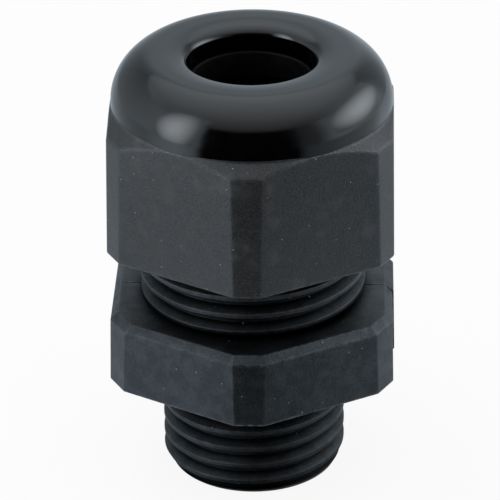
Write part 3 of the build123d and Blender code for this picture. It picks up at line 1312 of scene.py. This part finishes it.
tent_part("tent_wall", [(tent_radius, tent_height), (tent_radius, tent_foot_z)], WALL_STOPS, EVEN_STOPS)
tent_part("tent_floor", [(tent_radius, tent_foot_z), (near_radius, tent_foot_z)],
          FLOOR_STOPS, EVEN_STOPS)
tent_part("near_floor", [(near_radius, tent_foot_z), (foot_opening_radius, tent_foot_z)],
          NEAR_FLOOR_STOPS, PAINTED_SHADOW_STOPS)

# %% [markdown]
# Screen and side lamps. These draw the highlights on the dome, which mirrors whatever is above and
# beside it. A plain panel would end in a hard line there. So the screen's brightness is the product
# of two ramps, one along it, which fades towards the front and a little towards the back, and one
# across it, and each lamp fades out from its middle.

# %% Overhead screen
LENGTHWISE_STOPS = [
    (0, 0.1), (0.08, 0.24), (0.16, 0.33), (0.27, 0.48), (0.39, 0.72), (0.5, 0.93), (0.61, 1),
    (0.73, 0.94), (0.84, 0.8), (0.95, 0.63), (1, 0.56),
]
CROSSWISE_STOPS = [
    (0, 0.58), (0.18, 0.62), (0.28, 0.82), (0.39, 0.95), (0.5, 1), (0.61, 0.95), (0.72, 0.82),
    (0.82, 0.62), (1, 0.58),
]
screen_size = 2 * tent_radius
overhead = set_piece("overhead_screen", screen_size, screen_size, (0, 0, tent_height), (0, 0, -1))
material, tree, emission, place = new_glow("overhead_glow", OVERHEAD_STRENGTH)
lengthwise = brightness(tree, place, "LINEAR", LENGTHWISE_STOPS, tint=DAYLIGHT, location=(0.5, 0, 0),
                        rotation=(0, 0, -pi / 2))
crosswise = brightness(tree, place, "LINEAR", CROSSWISE_STOPS, location=(0.5, 0, 0))
tree.links.new(product(tree, lengthwise, crosswise), emission.inputs["Color"])
overhead.data.materials.append(material)
print("the overhead screen hangs", round(tent_height - nut_top_z, 1), "above the nut")

# %% Side lamps
dome_middle = Vector((0, 0, nut_top_z - 2))
lamp_distance = 150.0
rim_level = 1.0


def side_lamp(name, azimuth, elevation, width, height, peak):
    """A soft lamp that faces the dome, brightest in its middle."""
    direction = direction_to(radians(azimuth), radians(elevation))
    lamp = set_piece(name, width, height, dome_middle + direction * lamp_distance, -direction)
    material, tree, emission, place = new_glow(name + "_glow", peak)
    rim = rim_level / peak
    stops = [(0, rim), (0.35, 0.5 * (1 + rim)), (0.8, 1)]
    patch = brightness(tree, place, "SPHERICAL", stops, tint=DAYLIGHT, scale=(2, 2, 2))
    tree.links.new(patch, emission.inputs["Color"])
    lamp.data.materials.append(material)
    print(name, "glows from", rim_level, "at its rim to", peak)
    return lamp


side_lamp("left_lamp", azimuth=-61.5, elevation=16, width=99, height=204, peak=5.0)
side_lamp("right_lamp", azimuth=98, elevation=17, width=174, height=110, peak=4.5)

# %% [markdown]
# The floor. It is pale and plain. A white floor under enough light to look white would throw that
# light up on the gland. So its paper is a little grey, and only to the camera and in reflections
# does it glow in nearly the white of the backdrop. A small share of the paper is kept there, and
# with it the gland's soft shadow. Under the foot it doesn't glow, or white would shine up the hole.

# %% Floor
floor_size = 4.0
floor_gap = 0.03
paper_grey = 0.93
shadow_share = 0.1
dull_radius = 5.6 * MILLIMETRE

clear_selection()
floor_z = (connection_end_z - floor_gap) * MILLIMETRE
bpy.ops.mesh.primitive_plane_add(size=floor_size, location=(0, 0, floor_z))
floor = new_piece("pale_floor")
floor_material = bpy.data.materials.new("pale_paper")
tree = cleared_tree(floor_material)
paper = put(tree, "ShaderNodeBsdfDiffuse", {"Color": (paper_grey, paper_grey, paper_grey, 1)})
white = put(tree, "ShaderNodeEmission", {"Color": (1, 1, 1, 1), "Strength": 1.0})
place = put(tree, "ShaderNodeTexCoord")
distance = put(tree, "ShaderNodeVectorMath", operation="LENGTH")
outside = put(tree, "ShaderNodeMath", {1: dull_radius}, operation="GREATER_THAN")
share = put(tree, "ShaderNodeMath", {1: 1 - shadow_share}, operation="MULTIPLY")
blend = put(tree, "ShaderNodeMixShader")
output = put(tree, "ShaderNodeOutputMaterial")
tree.links.new(place.outputs["Object"], distance.inputs[0])
tree.links.new(distance.outputs["Value"], outside.inputs[0])
tree.links.new(seen_or_mirrored(tree), share.inputs[0])
tree.links.new(times(tree, share.outputs["Value"], outside.outputs["Value"]), blend.inputs["Fac"])
tree.links.new(paper.outputs["BSDF"], blend.inputs[1])
tree.links.new(white.outputs["Emission"], blend.inputs[2])
tree.links.new(blend.outputs["Shader"], output.inputs["Surface"])
floor.data.materials.append(floor_material)
print("the floor glows at", 1 - shadow_share, "of white, and the rest is lit paper")

# %% [markdown]
# World and lamp. The world is white to the camera and in mirrors, and dimmer as a light, so that
# the lamp can still model the shapes. The lamp is a broad, weak one, high up at the left and behind,
# and it is kept out of reflections, where the panels do the work.

# %% World and overhead lamp
world_light = 0.75
lamp_size = 0.16
lamp_power = 0.06
lamp_place = Vector((-60, 40, 170)) * MILLIMETRE
lamp_aim = Vector((0, 0, 10)) * MILLIMETRE

world = bpy.data.worlds.new("White tent")
bpy.context.scene.world = world
tree = cleared_tree(world)
fill = put(tree, "ShaderNodeBackground", {"Color": (1, 1, 1, 1), "Strength": world_light})
backdrop = put(tree, "ShaderNodeBackground", {"Color": (1, 1, 1, 1), "Strength": 1.0})
blend = put(tree, "ShaderNodeMixShader")
output = put(tree, "ShaderNodeOutputWorld")
tree.links.new(seen_or_mirrored(tree), blend.inputs["Fac"])
tree.links.new(fill.outputs["Background"], blend.inputs[1])
tree.links.new(backdrop.outputs["Background"], blend.inputs[2])
tree.links.new(blend.outputs["Shader"], output.inputs["Surface"])

lamp_data = bpy.data.lights.new("Overhead lamp", "AREA")
lamp_data.shape = "DISK"
lamp_data.size = lamp_size
lamp_data.energy = lamp_power
lamp = bpy.data.objects.new("Overhead lamp", lamp_data)
bpy.context.scene.collection.objects.link(lamp)
lamp.location = lamp_place
lamp.rotation_mode = "QUATERNION"
lamp.rotation_quaternion = (lamp_aim - lamp_place).to_track_quat("-Z", "Y")
lamp.visible_glossy = False

bpy.context.scene.view_settings.view_transform = "Standard"
print("the world lights at", world_light, "and the lamp at", lamp_power, "watts")

# %% [markdown]
# Last, nothing is left selected.

# %% Nothing left selected
clear_selection()
